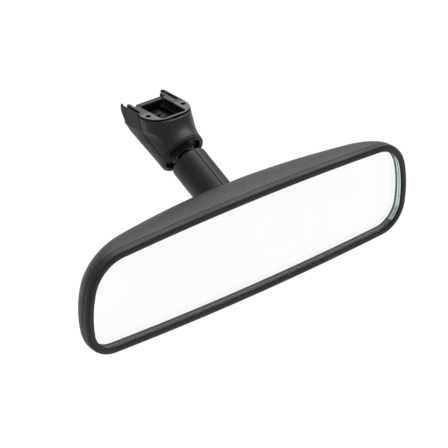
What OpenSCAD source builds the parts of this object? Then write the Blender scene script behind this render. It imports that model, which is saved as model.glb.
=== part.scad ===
// Interior rearview mirror on a two-ball arm.
// Origin: on the foot's flat top face, midway between its two holes.
// +X runs along the mirror, +Y points away from the glass towards the windscreen, +Z is the foot's face normal.

/* [Window] */
// Half the width of the glass that shows
window_half_w = 115; // [90:1:140]
// Half the height of the glass that shows
window_half_h = 29.5; // [24:0.5:36]
// Radius of the long top edge
top_arc_r = 1900; // [1200:50:4000]
// Radius of the long bottom edge
bottom_arc_r = 2000; // [1200:50:4000]
// Radius of the bulged ends
end_arc_r = 70; // [60:1:110]
// Height of the widest place, from the middle of the window
end_arc_z = -5; // [-8:0.5:2]
// Radius of the upper corners
top_corner_r = 20.5; // [12:0.5:24]
// Radius of the lower corners
bottom_corner_r = 15.5; // [10:0.5:22]

/* [Bezel and housing] */
// Width of the bezel above and below the window
bezel_rim = 4; // [3.5:0.1:6]
// Width of the bezel at the ends
bezel_end_rim = 4.6; // [4:0.1:7]
// Radius of the bezel's front edge
bezel_edge_r = 2.5; // [2.5:0.1:3]
// How far the bezel stands in front of the window's edge
bezel_crown = 0.3; // [0.1:0.1:0.8]
// Depth of the window's edge, down to the glass
lip_depth = 1.3; // [0.8:0.1:2]
// How far the lip laps over the glass
lip_lap = 0.3; // [0.2:0.1:1.2]
// Where the bezel meets the rear housing, behind the window's edge
parting_y = 4.5; // [4:0.1:6]
// Wall of the rear housing
housing_wall = 1.6; // [1.4:0.1:1.8]
// Depth of the rear housing behind the parting line
housing_depth = 33; // [30:0.5:40]
// How much less deep the housing is at its ends
end_drop = 15.2; // [10:0.1:18]
// How much less deep the housing is at its long edges
edge_drop = 8.5; // [6:0.1:12]
// Radius of the round opening for the arm
opening_r = 18; // [16:0.1:20]
// How far the opening's centre is below the arm's centre line
opening_shift = 2.9; // [2:0.1:4]
// Depth of the bezel's tongue inside the housing
tongue_depth = 2; // [1:0.1:2.5]

/* [Glass pack] */
// Thickness of the glass
glass_t = 3.8; // [2:0.1:5]
// Thickness of the mirror coating with its back paint
coating_t = 0.2; // [0.1:0.05:0.3]
// Thickness of the adhesive foam
foam_t = 0.8; // [0.5:0.1:1.5]
// Thickness of the plate that carries the glass
carrier_t = 1.6; // [1.2:0.1:2.4]
// Thickness of the bracket that holds the ball stud
bracket_t = 1.8; // [1.4:0.1:2.2]

/* [Ball joints] */
// Radius of both steel balls
ball_r = 7; // [6:0.1:8]
// Radius of the necks below the balls
neck_r = 3.2; // [2.6:0.1:3.6]
// Gap between surfaces that turn in each other
running_gap = 0.08; // [0.05:0.01:0.1]
// Wall of the nylon ball liners
liner_wall = 0.68; // [0.5:0.01:0.9]
// Wall of the socket cups at their thinnest
cup_wall = 1.1; // [0.9:0.1:1.4]
// Widest tilt that a ball's mouth has to leave room for, in degrees
ball_tilt = 18; // [12:1:20]

/* [Arm] */
// Distance between the two ball centres
ball_spacing = 34.4; // [32:0.1:60]
// Slope of the arm, in degrees
arm_tilt = 26.4; // [10:0.1:40]
// How far the arm reaches past each ball centre
arm_reach = 9; // [8.5:0.1:10]
// Wall of the steel tube
tube_wall = 0.85; // [0.6:0.05:1.2]
// Wall of the plastic arm covers
cover_wall = 1.3; // [1:0.05:1.6]
// Radius of the arm's round ends
arm_end_r = 2.2; // [1:0.1:2.4]
// Wire of the coil spring
spring_wire = 1.5; // [1:0.1:2]
// Turns of the coil spring
spring_turns = 4.5; // [3:0.5:6]

/* [Foot] */
// Half the width of the foot
foot_half_w = 16.4; // [15.5:0.1:20]
// Distance from the hole line to the foot's closed front
foot_front = 9.2; // [8:0.1:14]
// Distance from the hole line to the foot's open rear end
foot_rear = 23.4; // [20:0.1:30]
// Radius of the closed front's corners
foot_corner_r = 11; // [5:0.1:11.5]
// Radius of the corners at the open rear end
rear_corner_r = 2.4; // [1.6:0.1:4]
// Wall of the foot's covers
foot_wall = 1.3; // [1:0.05:1.5]
// Thickness of the top flange
flange_t = 1.2; // [1:0.1:3]
// Half the width of the channel
channel_half_w = 9.05; // [8:0.05:10]
// Depth of the channel
channel_depth = 7.5; // [7:0.1:9]
// Half the distance between the two holes
hole_x = 12.9; // [12.5:0.1:13.2]
// Radius of the two holes
hole_r = 1.5; // [1:0.1:1.6]
// Depth of the two holes
hole_depth = 6; // [3:0.1:7]
// Radius of the foot's round belly at its fullest, about the arm's centre line
belly_r = 15.6; // [15:0.1:16.2]
// Radius of the belly at its lip
lip_r = 14.1; // [13.8:0.1:15]
// Radius of the mouth that the arm looks out of
mouth_r = 11.9; // [11.6:0.1:12.4]
// How far the upper ball is in front of the hole line
upper_ball_y = 27.7; // [26:0.1:30]
// How far the upper ball is below the foot's face
upper_ball_z = 28.9; // [27:0.1:32]

/* [Fasteners] */
// Radius of the small screws' shanks
screw_r = 1.5; // [1.2:0.1:1.8]
// Radius of the small screws' heads
screw_head_r = 2.9; // [2.4:0.1:3.2]
// Height of the small screws' heads
screw_head_h = 1.5; // [1.2:0.1:2]

/* [Hidden] */
$fn = 64;
// Clearance between pieces that are fixed side by side
fit_gap = 0.1;
// Small overrun that keeps cuts clean
eps = 0.05;
// Points along each arc of the window's outline
arc_steps = 6;
// Smallest clearance between two moving pieces
move_gap = 0.4;

// The glass pack, as distances behind the window's edge
glass_y = lip_depth;
coating_y = glass_y + glass_t;
foam_y = coating_y + coating_t;
carrier_y = foam_y + foam_t;
bracket_y = carrier_y + carrier_t;
bracket_back_y = bracket_y + bracket_t;

// The nested sockets, from the ball outwards
liner_in_r = ball_r + running_gap;
liner_out_r = liner_in_r + liner_wall;
cup_in_r = liner_out_r + running_gap;
cup_out_r = cup_in_r + cup_wall;
tube_in_r = cup_out_r + running_gap;
tube_out_r = tube_in_r + tube_wall;
cover_in_r = tube_out_r + fit_gap / 2;
cover_out_r = cover_in_r + cover_wall;
// Along the arm, from the upper ball centre
cover_end = -arm_reach;
tube_end = cover_end + cover_wall;
cup_end = tube_end + tube_wall + running_gap;
cup_back = cup_in_r + cup_wall;
seat_t = 1;
seat_start = cup_back + running_gap;
spring_start = seat_start + seat_t;
spring_mid_r = tube_in_r - spring_wire / 2 - 0.6;
// Mouths wide enough for the neck at its widest tilt
function mouth_at(distance) = distance * tan(ball_tilt) + neck_r / cos(ball_tilt) + move_gap;
liner_mouth_r = liner_out_r * sin(asin(neck_r / ball_r) + ball_tilt);
cup_mouth_r = mouth_at(abs(cup_end));
tube_mouth_r = mouth_at(abs(tube_end));
cover_mouth_r = mouth_at(abs(cover_end));

// Ball centres and the middle of the window
upper_ball = [0, -upper_ball_y, -upper_ball_z];
arm_dir = [0, -cos(arm_tilt), -sin(arm_tilt)];
lower_ball = upper_ball + ball_spacing * arm_dir;
// The lower ball sits clear of the bracket, with room for the arm's end to swing
arm_end_swing = norm([arm_reach - arm_end_r, cover_out_r - arm_end_r]) + arm_end_r;
head_ball_y = bracket_back_y + arm_end_swing + move_gap;
head_ball_z = head_ball_y * tan(arm_tilt) - 1.4;
head_centre = lower_ball - [0, head_ball_y, head_ball_z];

stud_shank_r = 4;
stud_collar_r = stud_shank_r + 1.5;
stud_collar_h = 1.5;
// The head's ball stud seats on the bracket's pad, this far from its ball
stud_seat = arm_end_swing + move_gap;
stud_tail = 2.4;
stud_ring_r = stud_shank_r + 1.3;
stud_ring_h = 1.2;
stud_pad_r = stud_shank_r + 3;
bracket_half_w = 34;
bracket_half_h = 19;
bracket_screw_x = 28;
bracket_screw_z = 13;
tongue_draft = 0.4;

// The foot, along the arm's centre line behind the upper ball
lip_back = arm_reach + 4.3;
seam_back = lip_back + 1.5;
plug_back = seam_back + 2.2;
plug_len = 9;
plug_end = plug_back + plug_len;
// The belly grows evenly from its lip to its fullest place
belly_back = plug_end + 20;
function belly_at(back) = lip_r + (belly_r - lip_r) * (back - lip_back) / (belly_back - lip_back);
nut_r = 6;
nut_h = 4;
inner_inset = foot_wall + fit_gap;
block_h = 10;
pocket_depth = 9.3;
gusset_half_w = 12.5;
gusset_h = 16;
blend_sink = 0.3;
collar_roll = 1;
pocket_corner_r = 3;
channel_front = foot_front - foot_wall;
// Rear edge of the front panel, where it meets the foot's cover, as [y, z] going down
panel_rear_y = 5.2;
casting_rear = foot_rear - 3.4;
arm_upper_h = 6.5;
arm_slot = 0.9;
rear_slot = 1.7;
rail_z = -5;
rail_h = 1.5;
rail_w = 1.4;
clip_t = 0.6;
clip_w = 10;
clip_screw_y = 9.5;
clip_bar_y = 13.4;
clip_bar_len = 4.2;
cover_screw_y = 12;
cover_screw_x = channel_half_w + 2.2;

// ---- Outline of the window and everything parallel to it ----

// Where circles about c1 and c2 cross, on the side of larger x
function meet(c1, r1, c2, r2) =
    let (d = norm(c2 - c1), a = (d * d + r1 * r1 - r2 * r2) / (2 * d), h = sqrt(r1 * r1 - a * a))
    let (u = (c2 - c1) / d, side = u[1] < 0 ? -1 : 1)
    c1 + a * u + side * h * [u[1], -u[0]];
function bearing(from, to) = atan2(to[1] - from[1], to[0] - from[0]);
function arc(c, r, a1, a2, n) = [for (i = [0 : n - 1]) let (a = a1 + (a2 - a1) * i / n) c + r * [cos(a), sin(a)]];

// The window's outline grown by g: four kinds of arc, each running into the next
function rim(g) =
    let (top_r = top_arc_r + g, low_r = bottom_arc_r + g, end_r = end_arc_r + g)
    let (tc_r = top_corner_r + g, bc_r = bottom_corner_r + g)
    let (end_x = window_half_w + g * bezel_end_rim / bezel_rim)
    let (top_c = [0, window_half_h + g - top_r], low_c = [0, low_r - window_half_h - g])
    let (end_c = [end_x - end_r, end_arc_z])
    let (tc = meet(top_c, top_r - tc_r, end_c, end_r - tc_r))
    let (bc = meet(end_c, end_r - bc_r, low_c, low_r - bc_r))
    let (a1 = bearing(top_c, tc), a2 = bearing(end_c, tc), a3 = bearing(end_c, bc), a4 = bearing(low_c, bc))
    let (right = concat(
        arc(top_c, top_r, 90, a1, arc_steps),
        arc(tc, tc_r, a1, a2, arc_steps),
        arc(end_c, end_r, a2, a3, arc_steps),
        arc(bc, bc_r, a3, a4, arc_steps),
        arc(low_c, low_r, a4, -90, arc_steps),
        [[0, -window_half_h - g]]))
    let (last = len(right) - 1)
    concat(right, [for (i = [last - 1 : -1 : 1]) [-right[i][0], right[i][1]]]);

module slab(g, y1, y2) {
    translate([0, y2, 0]) rotate([90, 0, 0]) linear_extrude(y2 - y1) polygon(rim(g));
}

// Triangles between two rings of n points that start at places a and b
function band(a, b, n) = [
    for (i = [0 : n - 1]) let (j = (i + 1) % n) each [[a + i, b + j, a + j], [a + i, b + i, b + j]]
];

// A closed profile of [growth, y] places swept round the window
module rim_sweep(profile) {
    n = len(rim(0));
    m = len(profile);
    points = [for (p = profile) each [for (q = rim(p[0])) [q[0], p[1], q[1]]]];
    faces = [for (k = [0 : m - 1]) each band(k * n, ((k + 1) % m) * n, n)];
    polyhedron(points, faces);
}

// The domed back: a ring shrunk by s stands where the dome has that share of its outline
function dome_y(p, s, depth, base) =
    let (end = window_half_w + bezel_end_rim, edge = window_half_h + bezel_rim)
    let (full = depth - end_drop * pow(p[0] / end, 2) - edge_drop * pow(p[1] / edge, 2))
    base + full * sqrt(1 - pow(s, 8));
dome_shares = concat([for (a = [90 : -15 : 15]) pow(sin(a), 0.25)], [0.55, 0.35, 0.15]);

module dome(g, depth, front) {
    n = len(rim(g));
    m = len(dome_shares);
    outline = rim(g);
    rings = [for (s = dome_shares) each [for (p = outline) [s * p[0], dome_y(s * p, s, depth, parting_y), s * p[1]]]];
    start = [for (p = outline) [p[0], front, p[1]]];
    points = concat(start, rings, [[0, parting_y + depth, 0]]);
    faces = concat(
        [[for (i = [0 : n - 1]) i]],
        [for (k = [0 : m - 1]) each band(k * n, (k + 1) * n, n)],
        [for (i = [0 : n - 1]) [m * n + i, (m + 1) * n, m * n + (i + 1) % n]]);
    polyhedron(points, faces);
}

// ---- Frames ----

// Local +Z runs down the arm from the upper ball to the lower one, local +Y up across it
module at_upper_ball() {
    translate(upper_ball) rotate([90 + arm_tilt, 0, 0]) children();
}
// The same, mirrored end for end about the lower ball
module at_lower_ball() {
    translate(lower_ball) rotate([90 + arm_tilt, 0, 0]) mirror([0, 0, 1]) children();
}
module at_head() {
    translate(head_centre) children();
}
module span(r, z1, z2) {
    translate([0, 0, z1]) cylinder(r = r, h = z2 - z1);
}
// A cone along z from radius r1 at z1 to radius r2 at z2
module cone(r1, z1, r2, z2) {
    translate([0, 0, z1]) cylinder(r1 = r1, r2 = r2, h = z2 - z1);
}
// A block centred across x, from y1 to y2 and z1 to z2
module block(half_x, y1, y2, z1, z2) {
    translate([-half_x, y1, z1]) cube([2 * half_x, y2 - y1, z2 - z1]);
}

// ---- Fasteners ----

// A screw whose head sits on z = 0 with its shank below
module small_screw(length) {
    difference() {
        union() {
            span(screw_head_r, 0, screw_head_h);
            span(screw_r, -length, 0);
        }
        // Cross recess
        for (a = [0, 90]) rotate([0, 0, a]) translate([0, 0, screw_head_h]) {
            cube([2 * screw_head_r * 0.6, 0.7, 1.4], center = true);
        }
    }
}
module hex_nut(r, h, bore_r) {
    difference() {
        cylinder(r = r, h = h, $fn = 6);
        translate([0, 0, -eps]) cylinder(r = bore_r, h = h + 2 * eps);
    }
}

// ---- Foot ----

// Plan of the foot, drawn in by inset: square rear, round front corners
module foot_plan(inset) {
    half = foot_half_w - inset;
    r = foot_corner_r - inset;
    front = -foot_front + inset;
    translate([-half, front + r]) square([2 * half, foot_rear - front - r]);
    translate([-half + r, front]) square([2 * (half - r), r + eps]);
    for (s = [-1, 1]) translate([s * (half - r), front + r]) circle(r);
}
// Side view of the foot, whose rear end slants forward going down, as [y, z]
module foot_side() {
    polygon([
        [-50, 0],
        [foot_rear, 0],
        [foot_rear - 2.2, -4.3],
        [foot_rear - 4.8, -8.1],
        [foot_rear - 5.1, -9],
        [foot_rear - 5.1, -50],
        [-50, -50]
    ]);
}

// Outer shape of the foot, drawn in by inset
module foot_outer(inset) {
    upper_h = 7;
    far = 60;
    blend_back = plug_end - 4;
    front_end = lip_back + collar_roll - inset;
    tail_r = rear_corner_r - inset;
    intersection() {
        union() {
            translate([0, 0, -upper_h]) linear_extrude(upper_h + 1) foot_plan(inset);
            at_upper_ball() {
                span(belly_r - inset, -far, -belly_back);
                cone(belly_r - inset, -belly_back, belly_at(front_end) - inset, -front_end);
            }
            // The blend lies just under the belly's surface, where the two run together
            hull() {
                translate([0, 0, -upper_h]) linear_extrude(1) foot_plan(inset + blend_sink);
                at_upper_ball() cone(
                    belly_r - inset - blend_sink, -belly_back, belly_at(blend_back) - inset - blend_sink, -blend_back, $fn = 48);
            }
        }
        translate([-50, 0, 0]) rotate([90, 0, 90]) linear_extrude(100) foot_side();
        // Round corners at the rear end, down the foot's whole height
        translate([0, 0, -50]) linear_extrude(50) {
            half = foot_half_w - inset;
            tail = foot_rear - inset;
            translate([-half, -50]) square([2 * half, 50 + tail - tail_r]);
            translate([-half + tail_r, tail - tail_r - eps]) square([2 * (half - tail_r), tail_r + eps]);
            for (s = [-1, 1]) translate([s * (half - tail_r), tail - tail_r]) circle(tail_r);
        }
    }
}

// The part of the foot's skin that the front panel takes, grown by g on its rear and lower edges
module panel_region(g) {
    seam = [
        [panel_rear_y, 1],
        [panel_rear_y - 2.8, -8],
        [panel_rear_y - 3.8, -11.6],
        [panel_rear_y - 7.8, -14.8],
        [panel_rear_y - 13.5, -17.4],
        [panel_rear_y - 20, -20.5],
        [panel_rear_y - 26, -22.6]
    ];
    front = [[-45, -22.6], [-45, 1]];
    intersection() {
        translate([-50, g, -g]) rotate([90, 0, 90]) linear_extrude(100) polygon(concat(seam, front));
        at_upper_ball() translate([-50, -50, -70]) cube([100, 100, 70 - seam_back + g]);
    }
}

// Plan of the channel from its closed end, whose corners are round
module channel_plan(half_x, length) {
    r = pocket_corner_r;
    translate([-half_x, -channel_front + r]) square([2 * half_x, length - r]);
    translate([-half_x + r, -channel_front]) square([2 * (half_x - r), r + eps]);
    for (s = [-1, 1]) translate([s * (half_x - r), -channel_front + r]) circle(r);
}
module foot_casting() {
    body_inset = inner_inset + arm_slot;
    color([0.46, 0.47, 0.48]) difference() {
        union() {
            // Two arms and the floor between them
            intersection() {
                union() {
                    translate([0, 0, -block_h]) linear_extrude(block_h) foot_plan(body_inset);
                    translate([0, 0, -arm_upper_h]) linear_extrude(arm_upper_h) foot_plan(inner_inset);
                }
                block(50, -50, casting_rear, -block_h, 0);
            }
            // Top flange, full width in front of the cover's side walls
            intersection() {
                translate([0, 0, -flange_t]) linear_extrude(flange_t) foot_plan(0);
                block(50, -50, panel_rear_y - fit_gap, -flange_t, 0);
            }
            // Plug that fills the belly behind the mouth, and its two gussets
            at_upper_ball() span(lip_r - foot_wall + fit_gap, -plug_end, -plug_back);
            difference() {
                intersection() {
                    block(gusset_half_w, -channel_front, panel_rear_y, -gusset_h, -block_h + 1);
                    translate([0, 0, -gusset_h]) linear_extrude(gusset_h) foot_plan(body_inset);
                }
                block(nut_r + 1.2, -50, 50, -50, 50);
            }
        }
        // Channel between the rails, with a pocket at its closed end
        translate([0, 0, -channel_depth]) linear_extrude(channel_depth + 1) channel_plan(channel_half_w - rail_w, 50);
        translate([0, 0, rail_z]) linear_extrude(1 - rail_z) channel_plan(channel_half_w, 50);
        block(channel_half_w, -channel_front + pocket_corner_r, 50, -channel_depth, rail_z - rail_h);
        translate([0, 0, -channel_depth]) linear_extrude(channel_depth + 1) channel_plan(channel_half_w, 6);
        block(channel_half_w - 2, -channel_front, -channel_front + 5, -pocket_depth, 1);
        for (s = [-1, 1]) translate([s * hole_x, 0, -hole_depth]) cylinder(r = hole_r, h = hole_depth + 1);
        at_upper_ball() span(stud_shank_r, -plug_end - 1, -plug_back + 1);
        // Slots between the rear arms and the cover's side walls
        for (s = [-1, 1]) translate([s * (foot_half_w - inner_inset) - rear_slot, panel_rear_y + 2, -block_h - 1]) {
            cube([2 * rear_slot, 60, block_h + 2]);
        }
        // Room for the nut and its washer behind the plug
        at_upper_ball() span(nut_r + 1, -plug_end - nut_h - 1.5, -plug_end);
        translate([0, clip_screw_y, -block_h - 1]) cylinder(r = screw_r, h = 4);
        for (s = [-1, 1]) translate([s * cover_screw_x, cover_screw_y, -block_h - 1]) {
            cylinder(r = screw_r, h = 6);
        }
    }
}

module foot_cover() {
    color([0.09, 0.09, 0.095]) difference() {
        union() {
            difference() {
                foot_outer(0);
                foot_outer(foot_wall);
                panel_region(fit_gap);
                // The casting's flange takes the top in front of the side walls
                block(50, -50, panel_rear_y, -flange_t - fit_gap, 10);
            }
            // Collar with a rolled edge round the mouth
            at_upper_ball() rotate_extrude() collar_profile();
        }
        at_upper_ball() span(mouth_r, -plug_back + eps, 0);
        // Open rear end
        block(foot_half_w - rear_corner_r, foot_rear - 9, foot_rear + 3, -block_h - 1, 1);
        for (s = [-1, 1]) translate([s * cover_screw_x, cover_screw_y, -30]) {
            cylinder(r = screw_r + 0.2, h = 25);
        }
        // Room for the heads of the cover's screws
        for (s = [-1, 1]) translate([s * cover_screw_x, cover_screw_y, -block_h - screw_head_h - fit_gap]) {
            cylinder(r = screw_head_r + fit_gap, h = screw_head_h + fit_gap);
        }
    }
}
module collar_profile() {
    wall = lip_r - mouth_r;
    roll = collar_roll;
    intersection() {
        union() {
            translate([mouth_r, fit_gap - seam_back]) square([wall, seam_back - lip_back - fit_gap - roll]);
            translate([mouth_r + roll, -lip_back - roll - eps]) square([wall - 2 * roll, roll + eps]);
            for (x = [mouth_r + roll, lip_r - roll]) translate([x, -lip_back - roll]) circle(roll);
        }
        translate([0, fit_gap - seam_back]) square(seam_back);
    }
}

module foot_front_panel() {
    color([0.08, 0.08, 0.085]) intersection() {
        difference() {
            foot_outer(0);
            foot_outer(foot_wall);
            block(50, -50, 50, -flange_t - fit_gap, 10);
        }
        panel_region(0);
    }
}

module retaining_clip() {
    floor_z = -channel_depth;
    top_z = -0.2;
    color([0.12, 0.12, 0.13]) difference() {
        union() {
            translate([-clip_w / 2, 4, floor_z]) cube([clip_w, clip_bar_y + 1 - 4, clip_t]);
            translate([-clip_w / 2, clip_bar_y, floor_z]) cube([clip_w, clip_t, channel_depth + top_z]);
            // Cross bar with a turned-down edge
            bar_half = channel_half_w - 0.5;
            translate([-bar_half, clip_bar_y, top_z - clip_t]) cube([2 * bar_half, clip_bar_len, clip_t]);
            translate([-bar_half, clip_bar_y + clip_bar_len - clip_t, top_z - 2.4]) cube([2 * bar_half, clip_t, 2.4]);
        }
        translate([0, clip_screw_y, floor_z - 1]) cylinder(r = screw_r, h = 4);
    }
}
module clip_screw() {
    color([0.7, 0.7, 0.72]) translate([0, clip_screw_y, -channel_depth + clip_t]) small_screw(clip_t + 2.2);
}

// A ball on a neck, with a collar that seats at -seat and a shank behind it
module ball_stud(seat, shank_len) {
    sphere(ball_r);
    span(neck_r, -seat, 0);
    span(stud_collar_r, -seat, -seat + stud_collar_h);
    span(stud_shank_r, -seat - shank_len, -seat);
}
module foot_ball_stud() {
    color([0.72, 0.73, 0.75]) at_upper_ball() ball_stud(plug_back, plug_len + nut_h + 1);
}
module stud_washer() {
    color([0.7, 0.7, 0.72]) at_upper_ball() difference() {
        span(nut_r - 0.3, -plug_end - 0.8, -plug_end);
        span(stud_shank_r, -plug_end - 2, -plug_end + 2);
    }
}
module stud_nut() {
    color([0.72, 0.7, 0.6]) at_upper_ball() translate([0, 0, -plug_end - 0.8 - nut_h + 0.4]) {
        hex_nut(nut_r, nut_h - 0.4, stud_shank_r);
    }
}
// Rubber ring that closes the mouth round the neck's root
module stud_boot() {
    color([0.05, 0.05, 0.05]) at_upper_ball() rotate_extrude() difference() {
        union() {
            translate([0, -plug_back]) square([mouth_r - 0.2, 0.8]);
            translate([0, -plug_back]) square([stud_shank_r + 3, 4]);
            for (k = [0 : 1]) translate([stud_shank_r + 3, -plug_back + 1.8 + 1.6 * k]) circle(0.7);
        }
        translate([-1, -plug_back - 1]) square([stud_collar_r + 1, stud_collar_h + 1]);
        translate([-1, -plug_back]) square([neck_r + 1, 10]);
    }
}
module cover_screws() {
    color([0.3, 0.3, 0.31]) for (s = [-1, 1]) translate([s * cover_screw_x, cover_screw_y, -block_h]) {
        rotate([180, 0, 0]) small_screw(5);
    }
}

// ---- Ball joints ----

// Nylon shell round a ball, open where the neck comes out at -Z
module ball_liner() {
    color([0.85, 0.84, 0.8]) difference() {
        sphere(liner_out_r);
        sphere(liner_in_r);
        span(liner_mouth_r, -20, 0);
    }
}
// Half of a socket on the mouth's side
module cup_front() {
    color([0.25, 0.25, 0.26]) difference() {
        span(cup_out_r, cup_end, -fit_gap / 2);
        sphere(cup_in_r);
        span(cup_mouth_r, cup_end - 1, 0);
    }
}
// Half of a socket on the spring's side
module cup_rear() {
    color([0.25, 0.25, 0.26]) difference() {
        span(cup_out_r, fit_gap / 2, cup_back);
        sphere(cup_in_r);
        // Grease hole
        span(1.2, 0, cup_back + 1);
    }
}
module upper_ball_liner() { at_upper_ball() ball_liner(); }
module upper_cup_front() { at_upper_ball() cup_front(); }
module upper_cup_rear() { at_upper_ball() cup_rear(); }
module lower_ball_liner() { at_lower_ball() ball_liner(); }
module lower_cup_front() { at_lower_ball() cup_front(); }
module lower_cup_rear() { at_lower_ball() cup_rear(); }

// ---- Arm ----

module arm_tube() {
    color([0.66, 0.67, 0.69]) at_upper_ball() difference() {
        span(tube_out_r, tube_end, ball_spacing - tube_end);
        span(tube_in_r, tube_end + tube_wall, ball_spacing - tube_end - tube_wall);
        span(tube_mouth_r, tube_end - 1, ball_spacing - tube_end + 1);
    }
}
// Round bar with rounded ends, as half of its outline
module arm_cover_profile() {
    long = ball_spacing - 2 * cover_end;
    r = arm_end_r;
    difference() {
        translate([0, cover_end]) union() {
            translate([0, r]) square([cover_out_r, long - 2 * r]);
            square([cover_out_r - r, long]);
            for (z = [r, long - r]) translate([cover_out_r - r, z]) circle(r);
        }
        translate([-1, tube_end - fit_gap / 2]) square([cover_in_r + 1, long - 2 * cover_wall + fit_gap]);
        translate([-1, cover_end - 1]) square([cover_mouth_r + 1, long + 2]);
    }
}
module arm_cover_half(side) {
    color([0.07, 0.07, 0.075]) at_upper_ball() intersection() {
        rotate_extrude() arm_cover_profile();
        translate([side > 0 ? fit_gap / 2 : -50 - fit_gap / 2, -50, -50]) cube([50, 100, 150]);
    }
}
module arm_cover_left() { arm_cover_half(-1); }
module arm_cover_right() { arm_cover_half(1); }

module spring_seat(z) {
    color([0.7, 0.7, 0.72]) at_upper_ball() difference() {
        span(tube_in_r - fit_gap, z, z + seat_t);
        span(3, z - 1, z + seat_t + 1);
    }
}
module upper_spring_seat() { spring_seat(seat_start); }
module lower_spring_seat() { spring_seat(ball_spacing - seat_start - seat_t); }

// A coil swept as rings of wire, eight sides to the wire
module arm_spring() {
    wire_r = spring_wire / 2;
    sides = 8;
    rings = round(14 * spring_turns);
    low = spring_start + wire_r + 0.05;
    high = ball_spacing - low;
    points = [
        for (i = [0 : rings]) let (turn = 360 * spring_turns * i / rings, z = low + (high - low) * i / rings)
        for (k = [0 : sides - 1]) let (a = 360 * k / sides, r = spring_mid_r + wire_r * cos(a))
        [r * cos(turn), r * sin(turn), z + wire_r * sin(a)]
    ];
    ends = rings * sides;
    faces = concat(
        [for (i = [0 : rings - 1]) each band((i + 1) * sides, i * sides, sides)],
        [[for (k = [sides - 1 : -1 : 0]) k]],
        [[for (k = [0 : sides - 1]) ends + k]]);
    color([0.6, 0.61, 0.63]) at_upper_ball() polyhedron(points, faces);
}

// ---- Head ----

module head_ball_stud() {
    color([0.72, 0.73, 0.75]) at_lower_ball() ball_stud(stud_seat, stud_tail);
}
module head_stud_nut() {
    color([0.72, 0.7, 0.6]) at_lower_ball() difference() {
        span(stud_ring_r, -stud_seat - stud_tail, -stud_seat - stud_tail + stud_ring_h);
        span(stud_shank_r, -stud_seat - 5, 0);
    }
}
// Pressed plate with a slanted pad under the stud
module head_bracket() {
    color([0.62, 0.63, 0.65]) difference() {
        union() {
            at_head() translate([-bracket_half_w, bracket_y, -bracket_half_h]) {
                cube([2 * bracket_half_w, bracket_t, 2 * bracket_half_h]);
            }
            intersection() {
                at_lower_ball() span(stud_pad_r, -stud_seat - 12, -stud_seat);
                at_head() translate([-50, bracket_y, -50]) cube([100, 50, 100]);
            }
        }
        at_lower_ball() span(stud_shank_r, -stud_seat - 12, -stud_seat + 1);
        at_lower_ball() span(stud_ring_r, -stud_seat - 12, -stud_seat - stud_tail + stud_ring_h);
        at_lower_ball() span(stud_collar_r, -stud_seat, 0);
        at_head() for (sx = [-1, 1], sz = [-1, 1]) {
            translate([sx * bracket_screw_x, bracket_y - 1, sz * bracket_screw_z]) rotate([-90, 0, 0]) {
                cylinder(r = screw_r, h = bracket_t + 2);
            }
        }
    }
}
module bracket_screws() {
    color([0.7, 0.7, 0.72]) at_head() for (sx = [-1, 1], sz = [-1, 1]) {
        translate([sx * bracket_screw_x, bracket_back_y, sz * bracket_screw_z]) rotate([-90, 0, 0]) {
            small_screw(bracket_t + carrier_t - 0.3);
        }
    }
}

// The round way through the housing, about the arm's centre line
module arm_opening(r) {
    start = parting_y + housing_depth - edge_drop - head_ball_y + move_gap;
    at_lower_ball() translate([0, -opening_shift, 0]) span(r, start, 60);
}
module rear_housing() {
    color([0.2, 0.2, 0.205]) difference() {
        at_head() dome(bezel_rim, housing_depth, parting_y - eps);
        at_head() dome(bezel_rim - housing_wall, housing_depth - housing_wall, parting_y - 1);
        arm_opening(opening_r);
    }
}
// Lining that stiffens the edge of the opening
module opening_ring() {
    color([0.1, 0.1, 0.105]) intersection() {
        difference() {
            arm_opening(opening_r + 1.6);
            arm_opening(opening_r);
        }
        at_head() difference() {
            dome(bezel_rim - housing_wall - fit_gap, housing_depth - housing_wall - fit_gap, parting_y);
            dome(bezel_rim - housing_wall - 3, housing_depth - housing_wall - 3, parting_y - 1);
        }
    }
}
module bezel() {
    front = -bezel_crown;
    seat = lip_lap + fit_gap;
    tongue = bezel_rim - housing_wall - fit_gap - tongue_draft;
    r = bezel_edge_r;
    profile = concat(
        [[0, lip_depth], [0, 0.3], [0.3, 0], [0.9, front]],
        [for (a = [-90 : 18 : 0]) [bezel_rim - r + r * cos(a), front + r + r * sin(a)]],
        [
            [bezel_rim, parting_y - fit_gap],
            [tongue, parting_y - fit_gap],
            [tongue, parting_y + tongue_depth],
            [seat, parting_y + tongue_depth],
            [seat, lip_depth]
        ]);
    color([0.15, 0.15, 0.155]) at_head() rim_sweep(profile);
}
// Hooks that hold the carrier against the bezel's tongue
module bezel_clips() {
    clip_len = 8;
    places = [-78, -26, 26, 78];
    reach = window_half_h + lip_lap - 1.5;
    color([0.13, 0.13, 0.135]) at_head() for (x = places, s = [-1, 1]) {
        sag = x * x / (2 * (s > 0 ? top_arc_r : bottom_arc_r));
        z_low = s > 0 ? reach - 2.5 - sag : -reach - 0.2 + sag;
        translate([x - clip_len / 2, bracket_y + 0.02, z_low]) cube([clip_len, 1.2, 2.7]);
    }
}

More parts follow.
